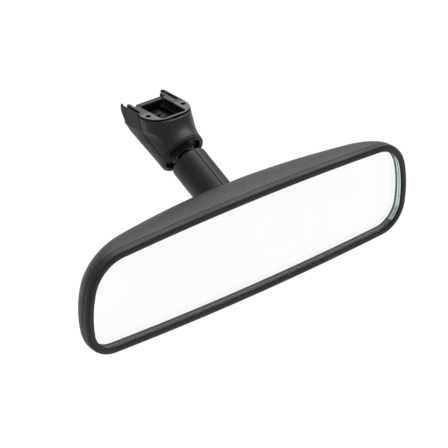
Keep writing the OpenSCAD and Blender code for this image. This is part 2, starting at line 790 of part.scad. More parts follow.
module mirror_glass() {
    color([0.85, 0.92, 0.9]) at_head() slab(lip_lap, glass_y, coating_y);
}
module mirror_coating() {
    color([0.9, 0.9, 0.92]) at_head() slab(lip_lap - fit_gap, coating_y, foam_y);
}
module foam_pad() {
    color([0.3, 0.3, 0.3]) at_head() slab(-3, foam_y, carrier_y);
}
module glass_carrier() {
    color([0.16, 0.16, 0.165]) at_head() difference() {
        slab(lip_lap - 0.2, carrier_y, bracket_y);
        // Room for the tail of the ball stud
        translate([0, carrier_y - 1, head_ball_z - (stud_seat + stud_tail) * sin(arm_tilt)]) rotate([-90, 0, 0]) {
            cylinder(r = stud_pad_r, h = carrier_t + 2);
        }
        for (sx = [-1, 1], sz = [-1, 1]) {
            translate([sx * bracket_screw_x, carrier_y - 1, sz * bracket_screw_z]) rotate([-90, 0, 0]) {
                cylinder(r = screw_r, h = carrier_t + 2);
            }
        }
    }
}

foot_casting();
foot_cover();
foot_front_panel();
retaining_clip();
clip_screw();
foot_ball_stud();
stud_washer();
stud_nut();
stud_boot();
cover_screws();
upper_ball_liner();
upper_cup_front();
upper_cup_rear();
arm_tube();
arm_cover_left();
arm_cover_right();
arm_spring();
upper_spring_seat();
lower_spring_seat();
lower_cup_front();
lower_cup_rear();
lower_ball_liner();
head_ball_stud();
head_bracket();
head_stud_nut();
bracket_screws();
rear_housing();
opening_ring();
bezel();
bezel_clips();
mirror_glass();
mirror_coating();
foam_pad();
glass_carrier();
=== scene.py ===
"""Looks of the interior rearview mirror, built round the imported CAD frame.

Pieces are drawn in millimetres, and mesh_object turns them into metres. The floor and the camera are in metres.
"""
import math

import bmesh
import bpy
import numpy as np
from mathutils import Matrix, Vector


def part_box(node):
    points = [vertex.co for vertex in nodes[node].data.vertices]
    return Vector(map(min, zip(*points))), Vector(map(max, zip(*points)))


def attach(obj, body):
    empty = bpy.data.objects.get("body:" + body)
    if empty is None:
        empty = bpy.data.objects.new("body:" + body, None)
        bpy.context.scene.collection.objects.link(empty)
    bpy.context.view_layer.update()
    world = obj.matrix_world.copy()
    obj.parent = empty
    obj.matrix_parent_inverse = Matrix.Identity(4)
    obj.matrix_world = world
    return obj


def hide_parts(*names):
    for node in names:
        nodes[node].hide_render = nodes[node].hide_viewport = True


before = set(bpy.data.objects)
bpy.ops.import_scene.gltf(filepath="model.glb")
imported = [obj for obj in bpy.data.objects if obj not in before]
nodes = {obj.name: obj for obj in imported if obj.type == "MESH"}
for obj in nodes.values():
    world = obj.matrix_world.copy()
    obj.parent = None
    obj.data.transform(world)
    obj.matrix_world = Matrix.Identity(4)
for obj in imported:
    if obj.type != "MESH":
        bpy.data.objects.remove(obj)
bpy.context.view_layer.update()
MM = 0.001

# ---- sizes, in millimetres, in the frame of the part
ARM_TILT = math.radians(26.4)
ARM_COS, ARM_SIN = math.cos(ARM_TILT), math.sin(ARM_TILT)
UPPER_BALL = np.array([0.0, -27.7, -28.9])
BACK_UP = np.array([0.0, ARM_COS, ARM_SIN])      # along the arm, from the mirror towards the foot
ACROSS = np.array([0.0, -ARM_SIN, ARM_COS])      # across the arm, upwards
BALL_SPACING = 34.4
LOWER_BALL = UPPER_BALL - BALL_SPACING * BACK_UP
HEAD = LOWER_BALL - np.array([0.0, 23.396, 10.214])

HALF_W, HALF_H = 115.0, 29.5
TOP_R, LOW_R, END_R, END_Z = 1900.0, 2000.0, 70.0, -5.0
TOP_CORNER, LOW_CORNER = 20.5, 15.5
RIM, END_RIM = 4.0, 4.6
PARTING, DEPTH, WALL = 4.5, 33.0, 1.6
END_DROP, EDGE_DROP = 15.2, 8.5
OPENING_R, OPENING_SHIFT = 18.0, 2.9
GLASS_Y, GLASS_T, COAT_T = 1.3, 3.8, 0.2


# ---- meshes
def mesh_object(name, verts, faces, sharp=None):
    """A smooth-shaded object from points in millimetres, with edges sharper than `sharp` degrees marked."""
    mesh = bpy.data.meshes.new(name)
    mesh.from_pydata((np.asarray(verts, float) * MM).tolist(), [], [list(map(int, f)) for f in faces])
    mesh.update()
    mesh.polygons.foreach_set("use_smooth", np.ones(len(mesh.polygons), bool))
    if sharp is not None:
        mesh.set_sharp_from_angle(angle=math.radians(sharp))
    obj = bpy.data.objects.new(name, mesh)
    bpy.context.scene.collection.objects.link(obj)
    return obj


def bands(count, rows, closed_rows):
    """Quads between rows of `count` points, each row a closed ring."""
    faces = []
    last = rows if closed_rows else rows - 1
    for k in range(last):
        a, b = k * count, ((k + 1) % rows) * count
        for i in range(count):
            j = (i + 1) % count
            faces.append((a + i, a + j, b + j, b + i))
    return faces


def place(obj, body, material, replaced):
    obj.data.materials.clear()
    obj.data.materials.append(material)
    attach(obj, body)
    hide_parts(*replaced)
    return obj


# ---- the window's outline
def meet(c1, r1, c2, r2):
    """Where the circles about c1 and c2 cross, on the outline's right-hand side."""
    d = math.dist(c1, c2)
    a = (d * d + r1 * r1 - r2 * r2) / (2 * d)
    h = math.sqrt(r1 * r1 - a * a)
    ux, uz = (c2[0] - c1[0]) / d, (c2[1] - c1[1]) / d
    side = -1 if uz < 0 else 1
    return c1[0] + a * ux + side * h * uz, c1[1] + a * uz - side * h * ux


def outline(grow, steps):
    """The window's outline grown by `grow`, as an (n, 2) array of x and z, from its top middle."""
    top_r, low_r, end_r = TOP_R + grow, LOW_R + grow, END_R + grow
    tc_r, bc_r = TOP_CORNER + grow, LOW_CORNER + grow
    end_x = HALF_W + grow * END_RIM / RIM
    top_c, low_c = (0, HALF_H + grow - top_r), (0, low_r - HALF_H - grow)
    end_c = (end_x - end_r, END_Z)
    tc = meet(top_c, top_r - tc_r, end_c, end_r - tc_r)
    bc = meet(end_c, end_r - bc_r, low_c, low_r - bc_r)

    def bearing(p, q):
        return math.atan2(q[1] - p[1], q[0] - p[0])

    turns = [math.pi / 2, bearing(top_c, tc), bearing(end_c, tc)]
    turns += [bearing(end_c, bc), bearing(low_c, bc), -math.pi / 2]
    arcs = [(top_c, top_r), (tc, tc_r), (end_c, end_r), (bc, bc_r), (low_c, low_r)]
    right = []
    for (c, r), a1, a2, n in zip(arcs, turns, turns[1:], steps):
        for i in range(n):
            a = a1 + (a2 - a1) * i / n
            right.append((c[0] + r * math.cos(a), c[1] + r * math.sin(a)))
    right.append((0, -HALF_H - grow))
    return np.array(right + [(-x, z) for x, z in right[-2:0:-1]])


STEPS = ((56, 20, 22, 16, 56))


def window_ring(grow, y):
    """The grown outline as points at depth y, in the head's frame."""
    o = outline(grow, STEPS)
    return np.column_stack([o[:, 0], np.full(len(o), y), o[:, 1]])


def sweep(name, profile):
    """A closed profile of (growth, y) places swept round the window."""
    rings = [window_ring(grow, y) + HEAD for grow, y in profile]
    return mesh_object(name, np.vstack(rings), bands(len(rings[0]), len(rings), True), 35)


def plate(name, profile):
    """A closed plate of the window's outline: the profile runs round its rim from its front to its back."""
    rings = [window_ring(grow, y) + HEAD for grow, y in profile]
    n, m = len(rings[0]), len(rings)
    faces = bands(n, m, False)
    faces.append(tuple(range(n))[::-1])
    faces.append(tuple(range((m - 1) * n, m * n)))
    return mesh_object(name, np.vstack(rings), faces, 20)


def arc2(cx, cy, r, a1, a2, n):
    """Points along an arc in degrees, both ends included."""
    angles = [math.radians(a1 + (a2 - a1) * i / n) for i in range(n + 1)]
    return [(cx + r * math.cos(a), cy + r * math.sin(a)) for a in angles]


# ---- distance fields for the cast and moulded foot
def cut_round(a, b, r):
    """Inside both a and b, with the edge between them rounded."""
    return np.minimum(np.maximum(a, b), -r) + np.hypot(np.maximum(a + r, 0), np.maximum(b + r, 0))


def join_round(a, b, r):
    """Inside a or b, with the corner between them filled."""
    return np.maximum(np.minimum(a, b), r) - np.hypot(np.maximum(r - a, 0), np.maximum(r - b, 0))


def box2(x, y, cx, cy, hx, hy, r):
    """A rectangle about (cx, cy) with round corners."""
    qx, qy = np.abs(x - cx) - hx + r, np.abs(y - cy) - hy + r
    return np.minimum(np.maximum(qx, qy), 0) + np.hypot(np.maximum(qx, 0), np.maximum(qy, 0)) - r


def polygon_field(y, z, points):
    """Distance to a closed polygon, negative inside."""
    best = np.full(y.shape, 1e9)
    inside = np.zeros(y.shape, bool)
    for (y1, z1), (y2, z2) in zip(points, points[1:] + points[:1]):
        dy, dz = y2 - y1, z2 - z1
        t = np.clip(((y - y1) * dy + (z - z1) * dz) / (dy * dy + dz * dz), 0, 1)
        best = np.minimum(best, np.hypot(y - y1 - t * dy, z - z1 - t * dz))
        crosses = (z1 > z) != (z2 > z)
        with np.errstate(divide="ignore", invalid="ignore"):
            inside ^= crosses & (y < dy * (z - z1) / (dz if dz else 1e-12) + y1)
    return np.where(inside, -best, best)


def surface(name, field, low, high, cell):
    """The zero surface of a distance field, as quads whose corners sit on the surface."""
    low, high = np.array(low, float), np.array(high, float)
    count = np.ceil((high - low) / cell).astype(int) + 1
    axes = [low[i] + cell * np.arange(count[i]) for i in range(3)]
    grid = np.stack(np.meshgrid(*axes, indexing="ij"), -1).reshape(-1, 3)
    value = field(grid).reshape(count)
    inside = value < 0
    total = np.zeros(count - 1, int)
    corners = [(i, j, k) for i in (0, 1) for j in (0, 1) for k in (0, 1)]

    def at(a, c):
        return a[c[0]:count[0] - 1 + c[0], c[1]:count[1] - 1 + c[1], c[2]:count[2] - 1 + c[2]]

    for c in corners:
        total += at(inside, c)
    live = (total > 0) & (total < 8)
    index = np.full(count - 1, -1)
    index[live] = np.arange(live.sum())
    cells = np.argwhere(live)
    place_sum, crossings = np.zeros((len(cells), 3)), np.zeros(len(cells))
    for c in corners:
        for axis in range(3):
            if c[axis]:
                continue
            d = list(c)
            d[axis] = 1
            va, vb = at(value, c)[live], at(value, tuple(d))[live]
            hit = (va < 0) != (vb < 0)
            share = np.where(hit, va / np.where(hit, va - vb, 1), 0)
            point = np.tile(np.array(c, float), (len(cells), 1))
            point[:, axis] += share
            place_sum += point * hit[:, None]
            crossings += hit
    verts = low + cell * (cells + place_sum / crossings[:, None])
    # Pull each corner onto the surface, within its own cell
    start = verts.copy()
    tetra = np.array([[1, -1, -1], [-1, -1, 1], [-1, 1, -1], [1, 1, 1]], float)
    for _ in range(3):
        eps = cell * 0.08
        slope = sum(t * field(verts + eps * t)[:, None] for t in tetra) / (4 * eps)
        size = np.maximum(np.linalg.norm(slope, axis=1, keepdims=True), 1e-6)
        verts = verts - field(verts)[:, None] * slope / size ** 2 * 0.9
        verts = start + np.clip(verts - start, -0.7 * cell, 0.7 * cell)
    faces = []
    for axis in range(3):
        b, c = (axis + 1) % 3, (axis + 2) % 3
        lower = [slice(1, -1)] * 3
        upper = [slice(1, -1)] * 3
        lower[axis], upper[axis] = slice(0, -1), slice(1, None)
        first, second = inside[tuple(lower)], inside[tuple(upper)]
        for flip in (False, True):
            spots = np.argwhere((first & ~second) if not flip else (~first & second))
            if not len(spots):
                continue
            base = spots + 1
            base[:, axis] -= 1
            quad = []
            for ob, oc in ((-1, -1), (0, -1), (0, 0), (-1, 0)):
                cell_at = base.copy()
                cell_at[:, b] += ob
                cell_at[:, c] += oc
                quad.append(index[cell_at[:, 0], cell_at[:, 1], cell_at[:, 2]])
            quad = np.stack(quad, 1)
            faces.append(quad[:, ::-1] if flip else quad)
    return mesh_object(name, verts, np.vstack(faces))


# The foot's plan, and its round belly about the arm's centre line
FOOT_HALF, FOOT_FRONT, FOOT_REAR, FOOT_CORNER, REAR_CORNER = 16.4, 9.2, 23.4, 11.0, 2.4
BELLY_R, LIP_R, MOUTH_R = 15.6, 14.4, 11.9
LIP_BACK, SEAM_BACK, PLUG_BACK, PLUG_END, BELLY_BACK = 13.3, 14.8, 17.0, 26.0, 46.0
BELLY_BLEND = 8.0
FOOT_WALL, INSET_GAP = 1.3, 0.1
FLANGE_T, PANEL_REAR = 1.2, 5.2
# The channel with its rails, and the block round it
CHANNEL, CHANNEL_DEPTH, POCKET_DEPTH = 9.05, 7.5, 9.3
RAIL_Z, RAIL_W, RAIL_H = -5.0, 1.4, 1.5
BLOCK_H, ARM_UPPER_H, CASTING_REAR = 10.0, 6.5, 20.0
ARM_SLOT, SLOT_HALF = 0.9, 1.7
HOLE_X, HOLE_R, HOLE_DEPTH = 12.9, 1.5, 6.0
CLIP_SCREW_Y, SCREW_R = 9.5, 1.5
STUD_R, NUT_ROOM_R = 4.0, 7.0
# The front panel's rear and lower edge, as y and z going down
SEAM = [(5.2, 3.0), (5.2, 1.0), (2.4, -8.0), (1.4, -11.6), (-2.6, -14.8), (-8.3, -17.4), (-14.8, -20.5)]
SEAM += [(-20.8, -22.6), (-45.0, -22.6), (-45.0, 3.0)]


def along(p):
    """How far each point is along the arm's centre line from the upper ball, and how far off it."""
    d = p - UPPER_BALL
    t, u = d @ BACK_UP, d @ ACROSS
    return t, np.hypot(d[:, 0], u)


def plan(p, inset):
    """The foot's plan, drawn in by inset, which runs on past its rear end."""
    x, y = p[:, 0], p[:, 1]
    front, rear = -FOOT_FRONT + inset, FOOT_REAR + 10
    return box2(x, y, 0, (front + rear) / 2, FOOT_HALF - inset, (rear - front) / 2, FOOT_CORNER - inset)


def foot_outer(p, inset):
    """The foot's outside, drawn in by inset: the plan's prism, joined to the belly."""
    z = p[:, 2]
    t, r = along(p)
    prism = np.maximum(plan(p, inset), -ARM_UPPER_H - z)
    full = LIP_R + (BELLY_R - LIP_R) * np.clip((t - LIP_BACK) / (BELLY_BACK - LIP_BACK), 0, 1)
    belly = np.maximum(r - (full - inset), LIP_BACK - 1.3 - t)
    body = join_round(prism, belly, BELLY_BLEND)
    # Round corners at the open rear end, which slants forward going down
    tail = box2(p[:, 0], p[:, 1], 0, FOOT_REAR - inset - 50, FOOT_HALF - inset, 50, REAR_CORNER - inset)
    body = cut_round(body, tail, 0.4)
    rear = FOOT_REAR - np.interp(-z, [0, 4.3, 8.1, 9], [0, 2.2, 4.8, 5.1])
    return np.maximum(body, 0.9 * (p[:, 1] - rear))


def panel_region(p, grow):
    """The room of the front panel, in front of the V-shaped seam."""
    t, _ = along(p)
    return cut_round(polygon_field(p[:, 1], p[:, 2], SEAM) - grow, SEAM_BACK - grow - t, 0.6)


def cover_field(p):
    x, y, z = p[:, 0], p[:, 1], p[:, 2]
    t, r = along(p)
    skin = cut_round(foot_outer(p, 0), -foot_outer(p, FOOT_WALL), 0.25)
    skin = cut_round(skin, z, 0.45)
    skin = cut_round(skin, SEAM_BACK - 0.3 - t, 0.1)
    skin = cut_round(skin, -panel_region(p, INSET_GAP), 0.4)
    skin = cut_round(skin, -np.maximum(y - PANEL_REAR, -FLANGE_T - INSET_GAP - z), 0.2)
    mid_r, half_r = (MOUTH_R + LIP_R) / 2, (LIP_R - MOUTH_R) / 2
    mid_t, half_t = (LIP_BACK + PLUG_BACK) / 2, (PLUG_BACK - LIP_BACK) / 2
    collar = box2(r, t, mid_r, mid_t, half_r, half_t, 1.0)
    collar = cut_round(collar, -panel_region(p, INSET_GAP), 0.35)
    body = join_round(skin, collar, 0.15)
    body = np.maximum(body, -np.maximum(r - MOUTH_R, t - PLUG_BACK))
    rear = np.maximum(np.maximum(np.abs(x) - (FOOT_HALF - REAR_CORNER), FOOT_REAR - 9 - y), -BLOCK_H - 1 - z)
    return cut_round(body, -rear, 0.3)


def panel_field(p):
    skin = cut_round(foot_outer(p, 0), -foot_outer(p, FOOT_WALL), 0.25)
    skin = cut_round(skin, panel_region(p, 0), 0.4)
    return cut_round(skin, p[:, 2] + FLANGE_T + 0.15, 0.3)


def casting_field(p):
    """The carrier: block and flange, plug and gussets, less the channel and the holes."""
    x, y, z = p[:, 0], p[:, 1], p[:, 2]
    t, r = along(p)
    arm_inset = FOOT_WALL + INSET_GAP
    lower = np.maximum(plan(p, arm_inset + ARM_SLOT), -BLOCK_H - z)
    block = np.minimum(lower, np.maximum(plan(p, arm_inset), -ARM_UPPER_H - z))
    flange = np.maximum(np.maximum(plan(p, 0), y - (PANEL_REAR - INSET_GAP)), -FLANGE_T - z)
    body = join_round(np.maximum(block, y - CASTING_REAR), flange, 0.2)
    # Slots beside the cover's walls, and a notch at the inner side of each arm's end
    side = np.abs(x)
    slots = np.maximum(np.maximum(np.abs(side - 15.0) - SLOT_HALF, 7.2 - y), -BLOCK_H - 1 - z)
    notch = np.maximum(np.maximum(np.abs(side - 9.8) - 1.4, 15.0 - y), -6 - z)
    body = cut_round(body, -np.minimum(slots, notch), 0.3)
    # Plug behind the mouth, with a gusset on each side
    plug = np.maximum(np.maximum(r - 12.9, PLUG_BACK - t), t - PLUG_END)
    body = np.minimum(body, np.maximum(plug, z + 3))
    gusset = np.maximum(np.maximum(np.abs(side - 9.85) - 2.65, np.abs(y + 1.1) - 6.3), np.abs(z + 12.5) - 3.5)
    body = np.minimum(body, gusset)
    # Channel: above the rails, between them, and the groove under them
    front = -FOOT_FRONT + FOOT_WALL
    way = box2(x, y, 0, front + 30, CHANNEL, 30, 2.2)
    inner_way = box2(x, y, 0, front + 30, CHANNEL - RAIL_W, 30, 1.5)
    pocket = box2(x, y, 0, front + 3, CHANNEL - 2, 3, 1.5)
    body = cut_round(body, -np.maximum(way, RAIL_Z - z), 0.35)
    body = cut_round(body, -np.maximum(inner_way, -CHANNEL_DEPTH - z), 0.15)
    groove_half = (CHANNEL_DEPTH + RAIL_Z - RAIL_H) / 2
    body = cut_round(body, -np.maximum(way, np.abs(z + CHANNEL_DEPTH - groove_half) - groove_half), 0.1)
    body = cut_round(body, -np.maximum(pocket, -POCKET_DEPTH - z), 0.2)
    # Holes: the two in the face, the stud's with room for its nut, and the clip screw's
    body = cut_round(body, -np.maximum(np.hypot(side - HOLE_X, y) - HOLE_R, -HOLE_DEPTH - z), 0.25)
    body = np.maximum(body, -np.maximum(r - STUD_R, np.abs(t - 22) - 8))
    body = np.maximum(body, -np.maximum(r - NUT_ROOM_R, np.abs(t - 28.7) - 2.7))
    body = np.maximum(body, -np.maximum(np.hypot(x, y - CLIP_SCREW_Y) - SCREW_R, -BLOCK_H - 1 - z))
    return cut_round(body, z, 0.35)


# ---- turned pieces on the arm's centre line
def turned(name, profile, centre, direction, count, sharp, half=False, gap=0.0, side=1, edge=0.0):
    """A closed profile of (radius, distance) places turned about the arm's centre line.

    Half a turn lies on one side, off the middle by gap, with its outer edges rounded by edge.
    """
    m = len(profile)
    if half:
        ease = [0, 0.004, 0.010, 0.018, 0.03]
        rest = [0.03 + (1 - 0.06) * i / count for i in range(1, count)]
        share = ease + rest + [1 - e for e in reversed(ease)]
        angles = [math.pi * s for s in share]
    else:
        angles = [2 * math.pi * i / count for i in range(count)]
    outer = max(q[0] for q in profile)
    verts = []
    for a in angles:
        for rad, dist in profile:
            if half:
                far = rad * math.sin(a)
                use = rad
                if edge and far < edge and rad > outer - 1.2 * edge - 1.0:
                    use = rad - (edge - math.sqrt(max(edge * edge - (edge - far) ** 2, 0)))
                x, u = side * (use * math.sin(a) + gap), use * math.cos(a)
            else:
                x, u = rad * math.sin(a), rad * math.cos(a)
            verts.append(centre + np.array([x, 0, 0]) + u * ACROSS + dist * direction)
    n = len(angles)
    faces = []
    for i in range(n - 1 if half else n):
        a, b = i * m, ((i + 1) % n) * m
        for k in range(m):
            j = (k + 1) % m
            faces.append((a + k, a + j, b + j, b + k))
    if half:
        faces.append(tuple(range(m))[::-1])
        faces.append(tuple(range((n - 1) * m, n * m)))
    obj = mesh_object(name, verts, faces, sharp)
    right_way_out(obj)
    obj.data.set_sharp_from_angle(angle=math.radians(sharp))
    return obj


def right_way_out(obj):
    """Turn all faces outwards."""
    bm = bmesh.new()
    bm.from_mesh(obj.data)
    bmesh.ops.recalc_face_normals(bm, faces=bm.faces)
    bm.to_mesh(obj.data)
    bm.free()


# ---- materials
def tree(name):
    mat = bpy.data.materials.new(name)
    mat.use_nodes = True
    nt = mat.node_tree
    return mat, nt, nt.nodes["Principled BSDF"]


def noise(nt, coord, scale, detail=3.0):
    n = nt.nodes.new("ShaderNodeTexNoise")
    n.inputs["Scale"].default_value = scale
    n.inputs["Detail"].default_value = detail
    n.inputs["Roughness"].default_value = 0.55
    nt.links.new(coord, n.inputs["Vector"])
    return n.outputs["Fac"]


def remap(nt, fac, low, high, to_low, to_high):
    n = nt.nodes.new("ShaderNodeMapRange")
    for i, v in enumerate((low, high, to_low, to_high)):
        n.inputs[1 + i].default_value = v
    nt.links.new(fac, n.inputs[0])
    return n.outputs[0]


def tint(nt, fac, dark, light):
    n = nt.nodes.new("ShaderNodeValToRGB")
    n.color_ramp.elements[0].position, n.color_ramp.elements[1].position = 0.3, 0.7
    n.color_ramp.elements[0].color, n.color_ramp.elements[1].color = (*dark, 1), (*light, 1)
    nt.links.new(fac, n.inputs[0])
    return n.outputs[0]


def bump(nt, fac, distance):
    n = nt.nodes.new("ShaderNodeBump")
    n.inputs["Distance"].default_value = distance
    n.inputs["Strength"].default_value = 1.0
    nt.links.new(fac, n.inputs["Height"])
    return n.outputs[0]


def coords(nt):
    return nt.nodes.new("ShaderNodeTexCoord").outputs["Object"]


def surface_material(name, base, rough, spread=0.12, rough_spread=0.08, grain=2200.0, depth=0.00003, patch=45.0,
                     metallic=0.0, specular=0.5):
    """Moulded or coated surface: fine grain, slow changes of tone and sheen."""
    mat, nt, bsdf = tree(name)
    co = coords(nt)
    slow, fine = noise(nt, co, patch, 4.0), noise(nt, co, grain, 2.0)
    dark = tuple(max(c * (1 - spread), 0) for c in base)
    light = tuple(min(c * (1 + spread), 1) for c in base)
    nt.links.new(tint(nt, slow, dark, light), bsdf.inputs["Base Color"])
    sheen = remap(nt, slow, 0.3, 0.7, rough - rough_spread, rough + rough_spread)
    nt.links.new(sheen, bsdf.inputs["Roughness"])
    nt.links.new(bump(nt, fine, depth), bsdf.inputs["Normal"])
    bsdf.inputs["Metallic"].default_value = metallic
    bsdf.inputs["Specular IOR Level"].default_value = specular
    return mat


housing_mat = surface_material("housing_plastic", (0.024, 0.0245, 0.026), 0.52,
                               grain=520.0, depth=0.00030, patch=30.0, specular=0.42)
bezel_mat = surface_material("bezel_plastic", (0.014, 0.0145, 0.0155), 0.5,
                             grain=1300.0, depth=0.00008, patch=40.0, specular=0.3)
cover_mat = surface_material("cover_plastic", (0.014, 0.0155, 0.017), 0.48,
                             grain=1500.0, depth=0.00006, patch=80.0, specular=0.22)
panel_mat = surface_material("panel_plastic", (0.012, 0.0135, 0.0145), 0.42,
                             grain=900.0, depth=0.00012, patch=120.0, rough_spread=0.14, specular=0.3)
arm_mat = surface_material("arm_plastic", (0.010, 0.011, 0.0125), 0.42,
                           grain=1800.0, depth=0.00004, patch=60.0, specular=0.28)
socket_mat = surface_material("socket_plastic", (0.015, 0.015, 0.016), 0.5, grain=1800.0, depth=0.00003)
nylon_mat = surface_material("nylon", (0.62, 0.6, 0.54), 0.4, spread=0.06, grain=1200.0, depth=0.00002)
casting_mat = surface_material("foot_casting_black", (0.006, 0.0063, 0.0067), 0.6,
                               grain=1400.0, depth=0.00006, specular=0.14)
# Painted light: lit grey copies of the black casting for its upward top faces, standing for the overhead light
# falling on them
painted_light_top_mat = surface_material("foot_top_painted_light", (0.115, 0.12, 0.12), 0.6,
                            spread=0.25, grain=1100.0, depth=0.00014, patch=400.0, specular=0.4)
painted_light_arm_top_mat = surface_material("foot_arm_top_painted_light", (0.04, 0.042, 0.043), 0.55,
                               spread=0.2, grain=1200.0, depth=0.00010, patch=300.0, specular=0.35)
clip_mat = surface_material("clip_black", (0.007, 0.0072, 0.0078), 0.4,
                            grain=1800.0, depth=0.00002, specular=0.25)
zinc_mat = surface_material("zinc_plate", (0.55, 0.56, 0.58), 0.34,
                            spread=0.1, grain=900.0, depth=0.00001, metallic=1.0)
steel_mat = surface_material("polished_steel", (0.62, 0.63, 0.65), 0.12,
                             spread=0.05, rough_spread=0.05, grain=700.0, depth=0.000004, metallic=1.0)
tube_mat = surface_material("tube_steel", (0.5, 0.51, 0.53), 0.3,
                            spread=0.1, grain=600.0, depth=0.000008, metallic=1.0)
spring_mat = surface_material("spring_steel", (0.32, 0.33, 0.35), 0.35,
                              spread=0.15, grain=1200.0, depth=0.00001, metallic=1.0)
rubber_mat = surface_material("boot_rubber", (0.012, 0.012, 0.012), 0.6,
                              grain=1600.0, depth=0.00004, specular=0.35)
foam_mat = surface_material("adhesive_foam", (0.06, 0.06, 0.06), 0.9,
                            grain=1800.0, depth=0.0001, specular=0.1)


def coating_material():
    mat, nt, bsdf = tree("silver_coating")
    co = coords(nt)
    tone = tint(nt, noise(nt, co, 25.0), (0.94, 0.95, 0.955), (0.965, 0.97, 0.97))
    nt.links.new(tone, bsdf.inputs["Base Color"])
    bsdf.inputs["Metallic"].default_value = 1.0
    bsdf.inputs["Roughness"].default_value = 0.0
    return mat


def glass_material():
    mat, nt, bsdf = tree("float_glass")
    co = coords(nt)
    tone = tint(nt, noise(nt, co, 6.0), (0.985, 0.997, 0.991), (0.989, 0.998, 0.993))
    nt.links.new(tone, bsdf.inputs["Base Color"])
    bsdf.inputs["Transmission Weight"].default_value = 1.0
    bsdf.inputs["IOR"].default_value = 1.52
    bsdf.inputs["Roughness"].default_value = 0.0
    return mat


def ground_edge_material(name, dark, light, metallic):
    mat, nt, bsdf = tree(name)
    co = coords(nt)
    nt.links.new(tint(nt, noise(nt, co, 900.0), dark, light), bsdf.inputs["Base Color"])
    nt.links.new(remap(nt, noise(nt, co, 1500.0), 0.3, 0.7, 0.12, 0.26), bsdf.inputs["Roughness"])
    nt.links.new(bump(nt, noise(nt, co, 2500.0), 0.00002), bsdf.inputs["Normal"])
    bsdf.inputs["Metallic"].default_value = metallic
    return mat


coating_mat, glass_mat = coating_material(), glass_material()
# Painted light and shade: one ground-edge material in a light lit copy for the ends and a dark shaded copy for the
# long edges
painted_light_end_edge_mat = ground_edge_material("ground_glass_end_painted_light", (0.55, 0.72, 0.63), (0.68, 0.84, 0.75), 1.0)
painted_shade_long_edge_mat = ground_edge_material("ground_glass_long_edge_painted_shade", (0.018, 0.034, 0.027), (0.035, 0.06, 0.048), 0.0)

# What each CAD node wears. The ones that a drawn piece replaces keep it underneath.
WEARS = [
    (steel_mat, ["foot_ball_stud", "head_ball_stud"]),
    (zinc_mat, ["stud_washer", "stud_nut", "upper_spring_seat", "lower_spring_seat"]),
    (zinc_mat, ["head_bracket", "head_stud_nut", "bracket_screws"]),
    (nylon_mat, ["upper_ball_liner", "lower_ball_liner"]),
    (socket_mat, ["upper_cup_front", "upper_cup_rear", "lower_cup_front", "lower_cup_rear"]),
    (socket_mat, ["opening_ring", "glass_carrier"]),
    (tube_mat, ["arm_tube"]),
    (spring_mat, ["arm_spring"]),
    (bezel_mat, ["bezel_clips", "bezel"]),
    (foam_mat, ["foam_pad"]),
    (coating_mat, ["mirror_coating"]),
    (glass_mat, ["mirror_glass"]),
    (housing_mat, ["rear_housing"]),
    (cover_mat, ["foot_cover"]),
    (panel_mat, ["foot_front_panel"]),
    (casting_mat, ["foot_casting"]),
    (clip_mat, ["retaining_clip", "clip_screw", "cover_screws"]),
    (rubber_mat, ["stud_boot"]),
    (arm_mat, ["arm_cover_left", "arm_cover_right"]),
]
for name, mat in [(name, mat) for mat, names in WEARS for name in names]:
    nodes[name].data.materials.clear()
    nodes[name].data.materials.append(mat)


# ---- bezel: rounded front edge, fine groove, parting edge
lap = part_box("mirror_glass")[1].z / MM - (HEAD[2] + HALF_H)      # how far the glass goes under the lip


BEZEL_EDGE_R, BEZEL_EDGE_DEPTH = 2.5, 2.2
TONGUE_X, TONGUE_END, SEAT_GAP = 1.9, PARTING + 2.0, 0.1


def bezel_profile():
    """The frame's section once round, as places of growth over the window's outline and depth."""
    seat, middle = lap + SEAT_GAP, RIM - BEZEL_EDGE_R
    lip = [(0.0, GLASS_Y), (0.0, 0.42), (0.08, 0.16), (0.3, -0.06), (0.6, -0.2), (0.95, -0.28), (middle, -0.3)]

    def on_edge(a, r):
        return middle + r * math.cos(a), BEZEL_EDGE_DEPTH + r * math.sin(a)

    groove = math.radians(-53)
    half = 0.16 / BEZEL_EDGE_R
    turn = [math.radians(a) for a in range(-80, 0, 7)]
    arc = [on_edge(a, BEZEL_EDGE_R) for a in turn if abs(a - groove) > 2.2 * half]
    groove_shape = [(-1.5, 0.0), (-1.0, 0.03), (-0.6, 0.17), (0.0, 0.26), (0.6, 0.17), (1.0, 0.03), (1.5, 0.0)]
    arc += [on_edge(groove + da * half, BEZEL_EDGE_R - sink) for da, sink in groove_shape]
    arc.sort(key=lambda q: math.atan2(q[1] - BEZEL_EDGE_DEPTH, q[0] - middle))
    side = [(RIM, BEZEL_EDGE_DEPTH), (RIM, 3.0), (RIM, 4.0)]
    side += [(RIM - 0.03, 4.2), (RIM - 0.12, 4.33), (RIM - 0.3, 4.4)]
    tongue = [(TONGUE_X, 4.4), (TONGUE_X, TONGUE_END), (seat, TONGUE_END), (seat, GLASS_Y)]
    return lip + arc + side + tongue


bezel = sweep("bezel_frame", bezel_profile())
right_way_out(bezel)
bezel.data.set_sharp_from_angle(angle=math.radians(38))
place(bezel, "head", bezel_mat, ["bezel"])


# ---- glass, its ground edge and its coating
back_y = GLASS_Y + GLASS_T
ground = 0.25
glass_rim = [(lap - ground, GLASS_Y), (lap, GLASS_Y + ground), (lap, back_y - ground), (lap - ground, back_y)]
glass = plate("glass_plate", glass_rim)
right_way_out(glass)
place(glass, "head", glass_mat, ["mirror_glass"])
glass.data.materials.append(painted_light_end_edge_mat)
glass.data.materials.append(painted_shade_long_edge_mat)
# Painted shade: faces along the top and bottom get the dark shaded edge tone, the end faces the light lit tone
for face in glass.data.polygons:
    face.use_smooth = False
    if abs(face.normal.y) < 0.98:
        face.material_index = 2 if abs(face.normal.z) > 0.8 else 1
coating_rim = [(lap - 0.12, back_y - 0.03), (lap - 0.12, back_y + COAT_T - 0.02)]
coating = plate("silver_layer", coating_rim)
right_way_out(coating)
place(coating, "head", coating_mat, ["mirror_coating"])


